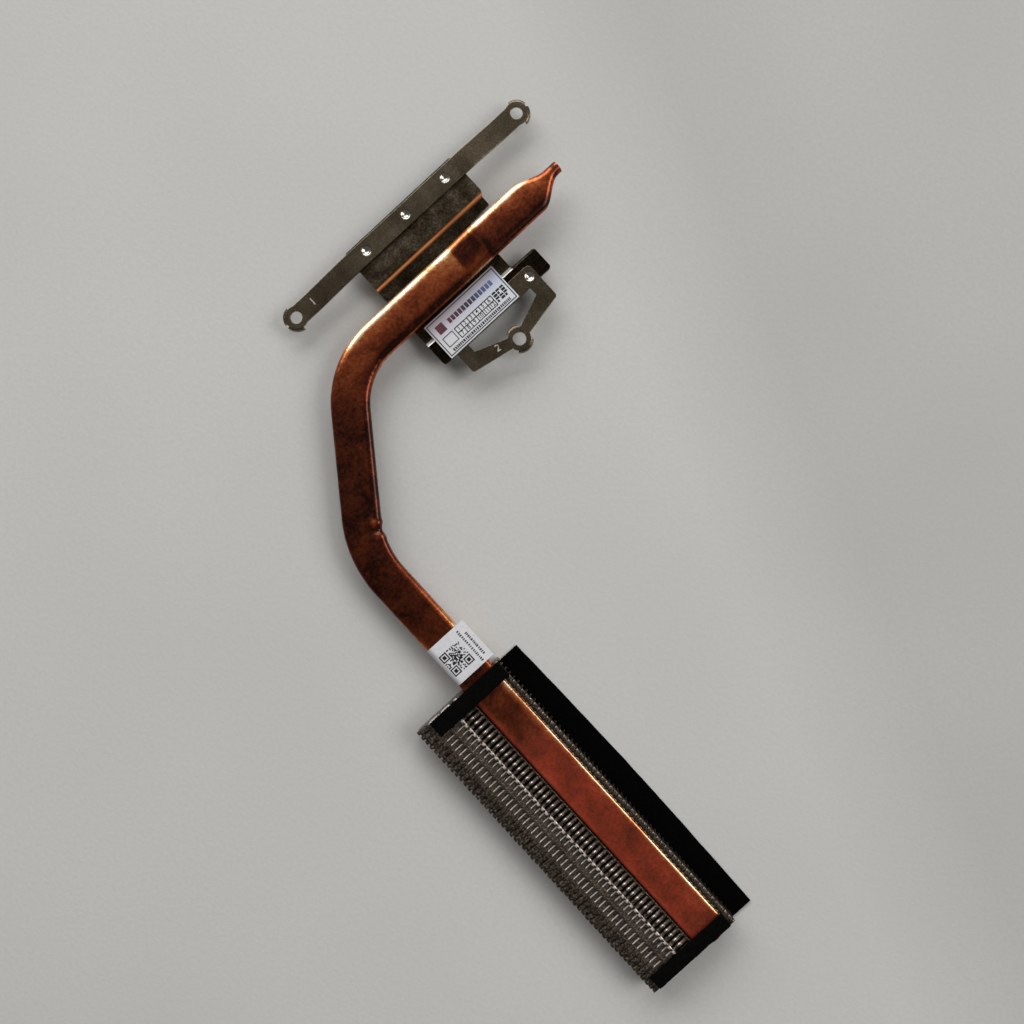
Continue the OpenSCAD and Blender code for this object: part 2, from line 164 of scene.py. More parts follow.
middle = Vector((-20, -57, 0)) * MM
table_reach = 0.9
table_drop = Vector((0, 0, -0.02)) * MM
board, tree, shader = new_finish("uncoated_board", Roughness=0.9)
board_place = object_place(tree)
tooth = grain(tree, board_place, 0.9, detail=4)
clouds = grain(tree, board_place, 60, detail=1)
mixed = maths(tree, "MULTIPLY", tooth, clouds)
pale = tones(tree, mixed, [(0.12, "#cbcac6"), (0.45, "#d3d2cf")])
# Painted shade: the board's colour darkens towards +x and a little towards -y
shaded_tones = tones(tree, mixed, [(0.12, "#bcbbb8"), (0.45, "#c4c3c0")])
shaded_side = (1.0, -0.38, 0)
sideways = add(tree, "ShaderNodeVectorMath", {0: board_place, 1: shaded_side}, operation="DOT_PRODUCT")
share = levels(tree, sideways.outputs["Value"], 30 * MM, 58 * MM, 0, 1)
feed(shader, Base_Color=mix(tree, share, pale, shaded_tones), Normal=relief(tree, tooth, 0.05))
bm = bmesh.new()
bmesh.ops.create_grid(bm, x_segments=8, y_segments=8, size=table_reach)
bmesh.ops.translate(bm, verts=bm.verts, vec=middle + table_drop)
table = piece_from(bm, "table", board)


# The light: an overcast sky in two wide windows, beyond the picture's top and its right, and a dim
# room. Flat metal mirrors the darkest part, the ceiling over the phone. Edges that lean to a window
# mirror the sky.
def soft_window(name, away, width, depth, watts):
    """A rectangular soft light that faces the part: away is its place from the part, in metres."""
    lamp = bpy.data.lights.new(name, "AREA")
    lamp.shape = "RECTANGLE"
    lamp.size = width
    lamp.size_y = depth
    lamp.energy = watts
    holder = new_object(name, lamp)
    turn = Vector(away).to_track_quat("Z", "Y").to_matrix().to_4x4()
    holder.matrix_world = Matrix.Translation(middle + Vector(away)) @ turn


soft_window("window", away=(0.55, 1.17, 0.76), width=2.1, depth=0.85, watts=18)
soft_window("side_window", away=(0.94, -0.6, 1.0), width=1.1, depth=0.75, watts=10)
room = bpy.data.worlds.new("room")
scene.world = room
room.use_nodes = True
tree = room.node_tree
look = add(tree, "ShaderNodeTexCoord", {}).outputs["Generated"]
window_side = (0.39, 0.83, 0.40)
facing = add(tree, "ShaderNodeVectorMath", {0: look, 1: window_side}, operation="DOT_PRODUCT")
walls = tones(tree, levels(tree, facing.outputs["Value"], -1, 1, 0, 1), [
    (0.0, "#6a6763"), (0.5, "#5a5856"), (0.7, "#646261"), (0.84, "#828282"), (0.9, "#a0a1a2"),
    (0.96, "#cbcccd"), (1.0, "#e7e8ea")])
tree.links.new(walls, tree.nodes["Background"].inputs["Color"])


# The contact block: a small slab of bare copper, sawn from bar and milled flat, soldered under the
# plate. It stays the CAD's own solid. Milling leaves fine straight marks and a soft pink-brown shine.
milled_copper, tree, shader = new_finish("milled_copper", Metallic=1.0, Roughness=0.32)
stretch = add(tree, "ShaderNodeMapping", {"Vector": object_place(tree), "Scale": (1, 14, 1)})
marks = grain(tree, stretch.outputs["Vector"], 2.5, detail=2)
feed(shader, Base_Color=tones(tree, marks, [(0.3, "#a4664a"), (0.7, "#c98a6b")]))
feed(shader, Normal=relief(tree, marks, 0.02))
block_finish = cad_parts["contact_block"].data.materials
block_finish.clear()
block_finish.append(milled_copper)


# The base plate: a blank of nickel-plated copper sheet, 1 mm thick, whose middle is pressed down to a
# channel for the pipe. Age has left it a dull grey-brown, with a coarse tooth from the blasting.
def fill_outline(bm, outline, holes=(), openings=(), rounding=0.0):
    """Fills a flat outline, given as (x, y) in mm, around round holes given as (x, y, diameter) and
    around openings given as outlines."""
    for loop in (outline, *openings):
        corners = [bm.verts.new((x * MM, y * MM, 0)) for x, y in loop]
        for start, end in zip(corners, corners[1:] + corners[:1]):
            bm.edges.new((start, end))
        if rounding and loop is outline:
            bmesh.ops.bevel(bm, geom=corners, offset=rounding * MM, segments=4, profile=0.5,
                            affect="VERTICES", material=-1)
    for x, y, diameter in holes:
        ring = bmesh.ops.create_circle(bm, segments=32, radius=diameter / 2 * MM)
        bmesh.ops.translate(bm, verts=ring["verts"], vec=(x * MM, y * MM, 0))
    bmesh.ops.triangle_fill(bm, edges=bm.edges[:], use_beauty=True, normal=(0, 0, 1))


def normals_out(bm):
    """Turns all faces outwards."""
    bmesh.ops.recalc_face_normals(bm, faces=bm.faces[:])


def fold_lines(bm, axis, places):
    """Cuts the sheet along lines at those places in mm across axis, so that it can be bent there."""
    normal = Vector([float(i == axis) for i in range(3)])
    for place in places:
        bmesh.ops.bisect_plane(bm, geom=bm.verts[:] + bm.edges[:] + bm.faces[:], dist=1e-7,
                               plane_co=normal * (place * MM), plane_no=normal)


def round_edges(bm, edges, size):
    """Rounds edges by size in mm."""
    bmesh.ops.bevel(bm, geom=edges, offset=size * MM, segments=2, profile=0.5, affect="EDGES",
                    material=-1, clamp_overlap=True)


def thicken(bm, thickness):
    """Gives the sheet its thickness below its top face, in mm, and rounds its blanked edges."""
    lower = bmesh.ops.extrude_face_region(bm, geom=bm.faces[:])["geom"]
    lower = [part for part in lower if isinstance(part, bmesh.types.BMVert)]
    bmesh.ops.translate(bm, verts=lower, vec=(0, 0, -thickness * MM))
    normals_out(bm)
    sharp = [e for e in bm.edges if e.calc_face_angle(0) > math.radians(50)]
    round_edges(bm, sharp, blanked_edge)


def ease(share):
    """A smooth step from 0 to 1."""
    share = min(max(share, 0.0), 1.0)
    return share * share * (3 - 2 * share)


blasted_nickel, tree, shader = new_finish("blasted_nickel_plate", Metallic=1.0)
nickel_place = object_place(tree)
grit = grain(tree, nickel_place, 0.4, detail=4, roughness=0.7)
stains = grain(tree, nickel_place, 4, detail=4)
blend = levels(tree, maths(tree, "ADD", grit, stains), 0.7, 1.3, 0, 1)
spot = add(tree, "ShaderNodeSeparateXYZ", {"Vector": nickel_place})
spot_y = spot.outputs["Y"]
soiled = tones(tree, blend, [(0.1, "#1f1810"), (0.55, "#3d3326"), (0.95, "#5e5242")])
worn = tones(tree, blend, [(0.1, "#2b231a"), (0.5, "#544939"), (0.95, "#7c7060")])
on_wing = levels(tree, spot_y, 7.4 * MM, 7.9 * MM, 0, 1)
plated = mix(tree, on_wing, soiled, worn)
# One wall of the channel gets a painted reflection of the copper pipe: a copper line with a painted
# bright core
past_floor = levels(tree, spot_y, 6.8 * MM, 7.0 * MM, 0, 1)
before_rim = levels(tree, spot_y, 7.45 * MM, 7.65 * MM, 1, 0)
on_wall = maths(tree, "MULTIPLY", past_floor, before_rim)
# Beyond the other wall the plate is darker
past_far_wall = levels(tree, spot_y, -7.9 * MM, -7.7 * MM, 1, 0)
darker_plate_tone = tones(tree, grit, [(0.35, "#100b07"), (0.6, "#2a2119")])
plated = mix(tree, past_far_wall, plated, darker_plate_tone)
# Painted highlight: that wall is near white, left of the tab
wall_start = levels(tree, spot_y, -7.85 * MM, -7.75 * MM, 0, 1)
wall_end = levels(tree, spot_y, -7.05 * MM, -6.95 * MM, 1, 0)
wall = maths(tree, "MULTIPLY", wall_start, wall_end)
left_of_tab = levels(tree, spot.outputs["X"], 8.0 * MM, 8.4 * MM, 1, 0)
painted_wall_highlight = maths(tree, "MULTIPLY", wall, left_of_tab)
plated = mix(tree, painted_wall_highlight, plated, linear("#f4f2ec"))
line_place = levels(tree, spot_y, 6.8 * MM, 7.65 * MM, 0, 1)
painted_pipe_reflection = tones(tree, line_place, [
    (0.1, "#6b3a1c"), (0.35, "#c27a44"), (0.55, "#f6b178"), (0.75, "#b4703f"), (0.95, "#5a3219")])
feed(shader, Base_Color=mix(tree, on_wall, plated, painted_pipe_reflection))
both_walls = maths(tree, "MAXIMUM", on_wall, painted_wall_highlight)
feed(shader, Metallic=levels(tree, both_walls, 0, 1, 1, 0.5))
feed(shader, Roughness=levels(tree, grit, 0.3, 0.7, 0.28, 0.42), Normal=relief(tree, grit, 0.02))

plate_top = 3.4
plate_sheet = 1.0
channel_floor = 6.9
channel_rim = 7.65
channel_depth = 0.9
pull_start = 13.4
end_pull = 0.8
blanked_edge = 0.08
bm = bmesh.new()
fill_outline(bm, [(-14.2, -12.6), (14.1, -12.6), (14.1, -7.4), (8.3, -7.4), (8.3, 4.9), (14.1, 4.9),
                  (14.1, 16.7), (-14.2, 16.7)], rounding=0.6)
bend_lines = [channel_floor - 0.3 + i * 0.125 for i in range(12)]
fold_lines(bm, 1, [side * place for side in (-1, 1) for place in bend_lines])
for corner in bm.verts:
    sunk = (channel_rim + 0.25 - abs(corner.co.y / MM)) / (channel_rim - channel_floor + 0.5)
    corner.co.z = (plate_top - channel_depth * ease(sunk)) * MM
    # The pressing draws the channel's end in
    corner.co.x -= max(corner.co.x - pull_start * MM, 0.0) * end_pull * ease(sunk)
thicken(bm, plate_sheet)
base_plate = piece_from(bm, "base_plate_sheet", blasted_nickel, crease=20)
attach(base_plate, "root")
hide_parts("base_plate")


# The heat pipe: a 6 mm copper tube, sealed at both ends, flattened to a band and then bent twice.
# Flux and heat have tarnished it from orange to dark brown, and its inner edge is kinked once.
pipe_width = 7.8
pipe_thick = 2.5
pipe_level = 3.75
stack_x = -50.8
first_corner_x = -28.8
turn_a = math.radians(53)
turn_b = math.radians(37)
radius_a = 17.0
radius_b = 22.0
free_tip = 27.9
nub_width = 2.4
nub_length = 2.5
nub_shift = 0.7
outer_taper = 7.0
inner_taper = 6.6
inner_taper_start = 0.9
flattening_length = 4.0
kink_past_bend = 3.6
kink_depth = 0.28
climb_start = 1.2
climb_length = 5.8
climb = 0.8
last_fin_y = -130.44
stack_nub = 1.6
nub_past_fins = 0.5
shoulder = 2.0
saving_a = radius_a * math.tan(turn_a / 2)
saving_b = radius_b * math.tan(turn_b / 2)
leg = (first_corner_x - stack_x) / math.cos(turn_a)
run_a = free_tip - first_corner_x - saving_a
arc_a = radius_a * turn_a
run_leg = leg - saving_a - saving_b
arc_b = radius_b * turn_b
run_b = run_a + arc_a + run_leg
kink = run_b + kink_past_bend
second_corner_y = (stack_x - first_corner_x) * math.tan(turn_a)
pipe_length = run_b + arc_b + second_corner_y - saving_b - last_fin_y + nub_past_fins


def straight_on(place, length):
    """A place is x, y and heading: this is the one that lies length mm straight on."""
    x, y, heading = place
    return x + length * math.cos(heading), y + length * math.sin(heading), heading


def bend_round(place, radius, angle):
    """The place after a bend to the left."""
    x, y, heading = place
    return (x + radius * (math.sin(heading + angle) - math.sin(heading)),
            y + radius * (math.cos(heading) - math.cos(heading + angle)), heading + angle)


bend_a_start = (free_tip - run_a, 0.0, math.pi)
bend_a_end = bend_round(bend_a_start, radius_a, turn_a)
bend_b_start = straight_on(bend_a_end, run_leg)
bend_b_end = bend_round(bend_b_start, radius_b, turn_b)


def centreline(along):
    """Where the pipe's middle is, along mm from its free tip: x, y and heading."""
    if along < run_a:
        return free_tip - along, 0.0, math.pi
    if along < run_a + arc_a:
        return bend_round(bend_a_start, radius_a, (along - run_a) / radius_a)
    if along < run_b:
        return straight_on(bend_a_end, along - run_a - arc_a)
    if along < run_b + arc_b:
        return bend_round(bend_b_start, radius_b, (along - run_b) / radius_b)
    return straight_on(bend_b_end, along - run_b - arc_b)


def bell(value, peak, spread):
    """1 at the peak, and nearly 0 from twice the spread away."""
    return math.exp(-(((value - peak) / spread) ** 2))


def between(place, stations):
    """Reads a value off a smooth line through (place, value) stations."""
    for (low, first), (high, second) in zip(stations, stations[1:]):
        if place < high:
            return first + (second - first) * ease((place - low) / (high - low))
    return stations[-1][1]


def to_nub(along):
    """How far off the nub in the stack is, in lengths of the shoulder before it."""
    return (pipe_length - stack_nub - along) / shoulder


def reach(along, nub_reach, taper_start, taper):
    """The band's reach to one side: it narrows to the nub at both ends."""
    start = nub_reach + (pipe_width / 2 - nub_reach) * ease((along - taper_start) / taper)
    share = min(max(to_nub(along), 0.0), 1.0)
    end = nub_width / 2 + (pipe_width - nub_width) / 2 * math.sqrt(1 - (1 - share) ** 2)
    return min(start, end)


def press_pipe(along, flat, cosine, sine):
    """A point of the flattened tube in mm: its place across the band and its height."""
    # The press squares the rounded edges more and more towards the stack
    square = between(along, [(48, 1), (64, 0.8), (110, 0.75), (126, 0.62)])
    cosine, sine = (math.copysign(abs(part) ** square, part) for part in (cosine, sine))
    inner = reach(along, nub_width / 2 - nub_shift, inner_taper_start, inner_taper)
    outer = reach(along, nub_width / 2 + nub_shift, nub_length, outer_taper)
    round_off = min(ease((along - nub_length) / flattening_length), ease(to_nub(along)))
    half = (nub_width + (pipe_thick - nub_width) * round_off) / 2
    centre = (inner - outer) / 2
    wide = (inner + outer) / 2
    across = centre + flat * (wide - half) + half * cosine
    height = half * sine
    # The press leaves the section a little oval, and least so in the stack
    share = min(abs((across - centre) / wide), 1.0)
    oval = math.copysign(half * math.sqrt(1 - share * share), sine)
    height += (oval - height) * between(along, [(0, 0.5), (48, 0.45), (66, 0.2), (95, 0.2), (110, 0.3),
                                                (126, 0.25), (150, 0.15)])
    # The rollers leave the flats slightly uneven
    on_flat = 1 - abs(flat) ** 8 if cosine == 0 else 0.0
    wave = noise.noise(Vector((along * 0.16, across * 0.22, sine)))
    height += on_flat * round_off * (0.05 * wave - 0.02 * sine)
    # Small creases on the inside of the first bend, and the kink in the second one
    inside = bell(across, inner, 1.3)
    in_bend = ease((along - run_a) / 5) * ease((run_a + arc_a + 16 - along) / 12)
    height += sine * 0.04 * inside * in_bend * math.sin(along * 4.6 + 2 * math.sin(along))
    bulge = 0.14 * (bell(along, kink - 1.9, 0.7) + bell(along, kink + 1.7, 0.7))
    across -= max(cosine, 0.0) * (bell(along, kink, 1.0) * kink_depth - bulge)
    fold = bell(across, inner, 2.1) * max(sine, 0.0)
    height += fold * (0.28 * bell(along, kink - 1.7, 0.7) - 0.42 * bell(along, kink, 0.5)
                      + 0.26 * bell(along, kink + 1.3, 0.6))
    return across, height


def bareness_and_painted_light(along, across):
    """How far the copper shows at a point of the pipe, with painted light and shade added: 0 is brown
    tarnish, 1 is bright metal.
    """
    # Along the pipe: tarnish, with a painted highlight on the jog's crest near 21 mm and painted light
    # beside its valley crease near 27 mm
    bare_and_lit = between(along, [
        (0, 0.55), (3, 0.45), (8, 0.3), (14, 0.32), (19, 0.22), (20.6, 0.06), (21.0, 0.42), (21.4, 0.12),
        (26.2, 0.1), (26.9, 0.64), (31, 0.54), (38, 0.4), (50, 0.42), (58, 0.33), (66, 0.12), (75, 0.1),
        (86, 0.1), (94, 0.12), (106, 0.14), (113, 0.3), (122, 0.05), (125, 0.24), (133, 0.26),
        (139, 0.34), (146, 0.5), (160, 0.52), (166, 0.34), (172, 0.52), (193, 0.5)])
    by_plate = ease((60 - along) / 12) * ease((along - 3) / 3)
    in_stack = ease((along - 124) / 4)
    on_run = ease((along - 60) / 6) * ease((91 - along) / 3)
    # Painted shade: darker across the band towards its edge away from the window
    bare_and_lit -= by_plate * across * 0.05
    # The jog's facet is dark but for its lower corner, which gets painted light
    facet = ease((along - 20.8) / 0.8) * ease((27.0 - along) / 0.8)
    bare_and_lit += facet * (bell(across, 3.2, 1.3) * 0.75 + across * 0.03)
    # The edge to the window gets a painted highlight; the other edge gets a painted dark rim of shade
    # and a painted bright reflection right at its edge
    bare_and_lit += by_plate * ease((-across - 2.1) / 0.7) * 0.6
    bare_and_lit += by_plate * (ease((across - 3.5) / 0.2) * 0.5 - bell(across, 3.0, 0.6) * 0.4)
    # Painted shade dims the run's inner edge. Painted highlights brighten that edge past the kink, the
    # kink's two bumps, both edges near the label and the stack's fan side, with a dimmer painted glow on
    # the stack's other edge
    bare_and_lit -= on_run * ease((across - 2.4) / 0.8) * 0.5
    bare_and_lit += ease((along - 90) / 8) * (1 - in_stack) * ease((across - 2.6) / 0.8) * 0.22
    bare_and_lit += (bell(along, kink - 1.8, 0.8) + bell(along, kink + 1.4, 0.6)) * ease(across - 1.6) * 0.5
    bare_and_lit += bell(along, 116, 9) * (1 - in_stack) * ease((abs(across) - 2.4) / 1.2) * 0.4
    bare_and_lit += in_stack * ease((150 - along) / 20) * ease((across - 1.8) / 1.2) * 0.5
    bare_and_lit += in_stack * (ease((across - 3.0) / 0.5) * 0.5 + bell(across, -3.4, 0.7) * 0.25)
    # Both sealed nubs are painted darker: two spots near the free tip, and the end in the stack
    bare_and_lit -= bell(along, 0.9, 0.45) * bell(across, -1.1, 0.4) * 0.7
    bare_and_lit -= bell(along, 1.5, 0.5) * bell(across, 0.3, 0.35) * 0.7
    bare_and_lit -= ease((along - pipe_length + 2.2) / 0.8)
    return min(max(bare_and_lit, 0.0), 1.0)


def rosiness_and_painted_glow(along, across):
    """How far the tarnish is rosy, not brown: it is so in the stack, away from the painted highlight on
    its fan-side edge, and a painted glow of reflected light runs along its other edge.
    """
    red_and_glow = between(along, [(120, 0), (132, 0.15), (146, 1), (193, 0.9)])
    if along > 124:
        # Painted glow: reflected light along the stack's exhaust-side edge
        red_and_glow += bell(across, -3.6, 0.8)
    return red_and_glow * (1 - ease((across - 2.6) / 0.7)) * ease((pipe_length - 1.5 - along) / 0.8)


top_points = 16
round_points = 12
under_points = 10
round_angles = [math.pi * i / round_points for i in range(round_points)]
# The section's points: place on the flat, -1 to 1, then cosine and sine on the round
around = [(-1 + 2 * i / top_points, 0, 1) for i in range(top_points)]
around += [(1, math.sin(angle), math.cos(angle)) for angle in round_angles]
around += [(1 - 2 * i / under_points, 0, -1) for i in range(under_points)]
around += [(-1, -math.sin(angle), -math.cos(angle)) for angle in round_angles]
rings = 520

bm = bmesh.new()
bare_and_lit_layer = bm.verts.layers.float.new("bareness_and_painted_light")
red_and_glow_layer = bm.verts.layers.float.new("rosiness_and_painted_glow")
bmesh.ops.create_grid(bm, x_segments=rings, y_segments=len(around), size=0.5)
for point in bm.verts:
    along = (point.co.x + 0.5) * pipe_length
    flat, cosine, sine = around[round((point.co.y + 0.5) * len(around)) % len(around)]
    across, height = press_pipe(along, flat, cosine, sine)
    lift = climb * min(max((free_tip - climb_start - along) / climb_length, 0.0), 1.0)
    x, y, heading = centreline(along)
    point.co = Vector((x - across * math.sin(heading), y + across * math.cos(heading),
                       pipe_level + lift + height)) * MM
    point[bare_and_lit_layer] = bareness_and_painted_light(along, across)
    point[red_and_glow_layer] = rosiness_and_painted_glow(along, across)
bmesh.ops.remove_doubles(bm, verts=bm.verts[:], dist=1e-6)
# The free tip is sealed round a small dark pit
pit_edge = 0.45
pit_depth = 0.8
caps = bmesh.ops.holes_fill(bm, edges=bm.edges[:], sides=0)["faces"]
pit = max(caps, key=lambda face: face.calc_center_median().x)
bmesh.ops.inset_individual(bm, faces=[pit], thickness=pit_edge * MM, depth=0)
bmesh.ops.translate(bm, verts=pit.verts[:], vec=(-pit_depth * MM, 0, 0))
normals_out(bm)

tarnished_copper, tree, shader = new_finish("tarnished_copper", Coat_Weight=0.1, Coat_Roughness=0.2,
                                            Coat_IOR=1.7)
copper_place = object_place(tree)
bare_and_lit = add(tree, "ShaderNodeAttribute", {}, attribute_name="bareness_and_painted_light").outputs["Fac"]
red_and_glow = add(tree, "ShaderNodeAttribute", {}, attribute_name="rosiness_and_painted_glow").outputs["Fac"]
patches = grain(tree, copper_place, 5, detail=5, roughness=0.65, distortion=0.5)
mottle = grain(tree, copper_place, 0.7, detail=5, roughness=0.75)
blotch = maths(tree, "ADD", levels(tree, patches, 0.3, 0.7, -0.18, 0.18), bare_and_lit)
shade = maths(tree, "ADD", levels(tree, mottle, 0.3, 0.7, -0.13, 0.13), blotch)
# From brown tarnish to shining copper; the cream top of the ramp is a painted highlight
brown = tones(tree, shade, [
    (0.0, "#34130a"), (0.3, "#7c361a"), (0.55, "#b0572f"), (0.8, "#d88b50"), (1.0, "#ffdcb4")])
rosy = tones(tree, shade, [(0.0, "#3c170c"), (0.3, "#7c3723"), (0.6, "#b0442b"), (1.0, "#dd6242")])
feed(shader, Base_Color=mix(tree, red_and_glow, brown, rosy))
feed(shader, Metallic=levels(tree, red_and_glow, 0, 1, 0.85, 0.55))
feed(shader, Roughness=levels(tree, mottle, 0.3, 0.7, 0.22, 0.36), Normal=relief(tree, mottle, 0.01))
pipe = piece_from(bm, "heat_pipe", tarnished_copper, crease=50)
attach(pipe, "root")
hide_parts("heatpipe")


# The long arm: a strip of stainless spring steel, blanked and bent so that its ends lie lower. The
# ring round each screw hole has two turned-down collars, and its screw's number is stamped beside it.
def arc_points(x, y, radius, start, end, steps):
    """Points in mm on an arc, from start to end degrees."""
    angles = [math.radians(start + (end - start) * i / steps) for i in range(steps + 1)]
    return [(x + radius * math.cos(a), y + radius * math.sin(a)) for a in angles]


def turned_collar(bm, x, y, level, facing, span):
    """A collar turned down round part of a screw hole's ring: a bent sheet spun about the hole."""
    inner = 2.2
    outer = 2.75
    sheet = 0.4
    depth = 1.3
    bend = outer - inner
    section = arc_points(inner, -bend, bend, 90, 0, 4) + [(outer, -depth), (outer - sheet, -depth)]
    section += arc_points(inner, -bend, bend - sheet, 0, 90, 2)
    start = Matrix.Rotation(math.radians(facing - span / 2), 4, "Z")
    hole = Vector((x, y, level)) * MM
    corners = [bm.verts.new(hole + start @ Vector((r, 0, h)) * MM) for r, h in section]
    edges = [bm.edges.new(pair) for pair in zip(corners, corners[1:] + corners[:1])]
    before = set(bm.verts)
    bmesh.ops.spin(bm, geom=corners + edges, cent=hole, axis=(0, 0, 1), angle=math.radians(span),
                   steps=round(span / 7), use_merge=False)
    made = corners + [v for v in bm.verts if v not in before]
    rims = [e for e in bm.edges if e.is_boundary and e.verts[0] in made]
    bmesh.ops.holes_fill(bm, edges=rims, sides=0)


def stamped_number(digits, height, x, y, level, heading, material, name):
    """A plain number on a flat face, as thin strokes: height, place and level in mm."""
    words = bpy.data.curves.new(name, "FONT")
    words.body = digits
    words.size = height * MM
    words.align_x = "CENTER"
    words.align_y = "CENTER"
    words.extrude = stroke_lift * MM
    words.offset = 0.008 * height * MM
    lying = new_object(name, words)
    depsgraph = bpy.context.evaluated_depsgraph_get()
    mesh = bpy.data.meshes.new_from_object(lying.evaluated_get(depsgraph))
    bpy.data.objects.remove(lying)
    mesh.transform(Matrix.Translation(Vector((x, y, level)) * MM)
                   @ Matrix.Rotation(math.radians(heading), 4, "Z"))
    mesh.materials.clear()
    mesh.materials.append(material)
    return new_object(name, mesh)


spring_steel, tree, shader = new_finish("handled_spring_steel", Metallic=1.0)
steel_place = object_place(tree)
smudges = grain(tree, steel_place, 5, detail=4)
rolling = grain(tree, steel_place, 0.3, detail=4, roughness=0.7)
blend = levels(tree, maths(tree, "ADD", smudges, rolling), 0.7, 1.3, 0, 1)
feed(shader, Base_Color=tones(tree, blend, [
    (0.0, "#5b5041"), (0.5, "#746754"), (1.0, "#8f826f")]))
feed(shader, Roughness=levels(tree, rolling, 0.3, 0.7, 0.22, 0.3), Normal=relief(tree, rolling, 0.006))
burnished, tree, shader = new_finish("burnished_strokes", Metallic=0.3, Roughness=0.5)
feed(shader, Base_Color=tones(tree, grain(tree, object_place(tree), 0.3), [
    (0.4, "#8a837b"), (0.6, "#d0c9be")]))

arm_y = 14.2
arm_top = 4.0
arm_width = 4.2
arm_reach = 29.4
arm_bore = 2.4
ring_radius = 2.3
arm_drop = 0.7
arm_rivets = 10.45
rivet_hole = 1.94
spring_sheet = 0.6
stroke_lift = 0.012
flat_end = 16.1
slope = 8.0
side_angle = math.degrees(math.asin(arm_width / 2 / ring_radius))

bm = bmesh.new()
outline = arc_points(arm_reach, arm_y, ring_radius, side_angle - 180, 180 - side_angle, 24)
outline += arc_points(-arm_reach, arm_y, ring_radius, side_angle, 360 - side_angle, 24)
screw_holes = [(side * arm_reach, arm_y, arm_bore) for side in (-1, 1)]
rivet_holes = [(x, arm_y, rivet_hole) for x in (-arm_rivets, 0, arm_rivets)]
fill_outline(bm, outline, holes=screw_holes + rivet_holes)
bends = [place + spread for place in (flat_end, flat_end + slope) for spread in (-0.6, 0, 0.6)]
fold_lines(bm, 0, [side * place for side in (-1, 1) for place in bends])
for corner in bm.verts:
    share = (abs(corner.co.x / MM) - flat_end) / slope
    lowered = min(max(share, 0.0), 1.0) * 0.7 + ease((share + 0.08) / 1.16) * 0.3
    corner.co.z = (arm_top - arm_drop * lowered) * MM
thicken(bm, spring_sheet)
for side in (-1, 1):
    for turn in (-47, 47):
        turned_collar(bm, side * arm_reach, arm_y, arm_top - arm_drop, 90 - side * 90 + turn, 74)
normals_out(bm)
long_arm = piece_from(bm, "long_arm_strip", spring_steel, crease=20)
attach(long_arm, "root")
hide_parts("long_arm")
for digit, x in (("1", -24.9), ("3", 23.2)):
    number = stamped_number(digit, 2.3, x, arm_y, arm_top - arm_drop + stroke_lift, 0, burnished,
                            "number_" + digit)
    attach(number, "root")


# The bracket: a closed frame blanked from the same steel, with a root bar on the plate, two legs and
# two slanted branches that meet at screw hole 2. It is held by three rivets, as the long arm is.
bracket_top = 4.0
half_width = 11.1
hole_y = -18.8
bracket_bore = 2.6
bracket_rivets = 9.6
bracket_rivets_y = -11.2
elbow = 0.7
elbow_y = -17.0
shoulder_round = 1.1
shoulder_y = -10.3
bm = bmesh.new()
outer_line = arc_points(elbow - half_width, elbow_y, elbow, 240, 180, 3)
outer_line += arc_points(shoulder_round - half_width, shoulder_y, shoulder_round, 180, 90, 5)
outer_line += arc_points(half_width - shoulder_round, shoulder_y, shoulder_round, 90, 0, 5)
outer_line += arc_points(half_width - elbow, elbow_y, elbow, 0, -60, 3)
outer_line += arc_points(0, hole_y, ring_radius, -12.2, -167.8, 20)
inner_line = [(8.2, -12.9), (-8.2, -12.9), (-8.2, -14.7), (-1.84, -17.1)]
inner_line += arc_points(0, hole_y, ring_radius, 132.3, 47.7, 10) + [(1.84, -17.1), (8.2, -14.7)]
rivet_holes = [(x, bracket_rivets_y, rivet_hole) for x in (-bracket_rivets, 0, bracket_rivets)]
fill_outline(bm, outer_line, holes=[(0, hole_y, bracket_bore)] + rivet_holes, openings=[inner_line])
bmesh.ops.translate(bm, verts=bm.verts, vec=(0, 0, bracket_top * MM))
thicken(bm, spring_sheet)
turned_collar(bm, 0, hole_y, bracket_top, -90, 95)
turned_collar(bm, 0, hole_y, bracket_top, 90, 60)
normals_out(bm)
bracket = piece_from(bm, "bracket_frame", spring_steel, crease=20)
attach(bracket, "root")
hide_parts("v_bracket")
number = stamped_number("2", 2.0, -4.4, -17.3, bracket_top + stroke_lift, -13, burnished, "number_2")
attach(number, "root")


# The rivets: six steel rivets set flush with the springs. Their tops are pressed to a round dish, and
# their closed heads lie under the plate. They are turned parts, spun about their own axes.
rivet_steel, tree, shader = new_finish("pressed_rivet_steel", Metallic=1.0, Roughness=0.22)
feed(shader, Base_Color=tones(tree, grain(tree, object_place(tree), 0.6), [
    (0.3, "#a7a29a"), (0.7, "#d8d4cc")]))
rivet_top = 4.0
shank = 1.6
closed_head = 0.3
dish_radius = 0.86
dish_depth = 0.42
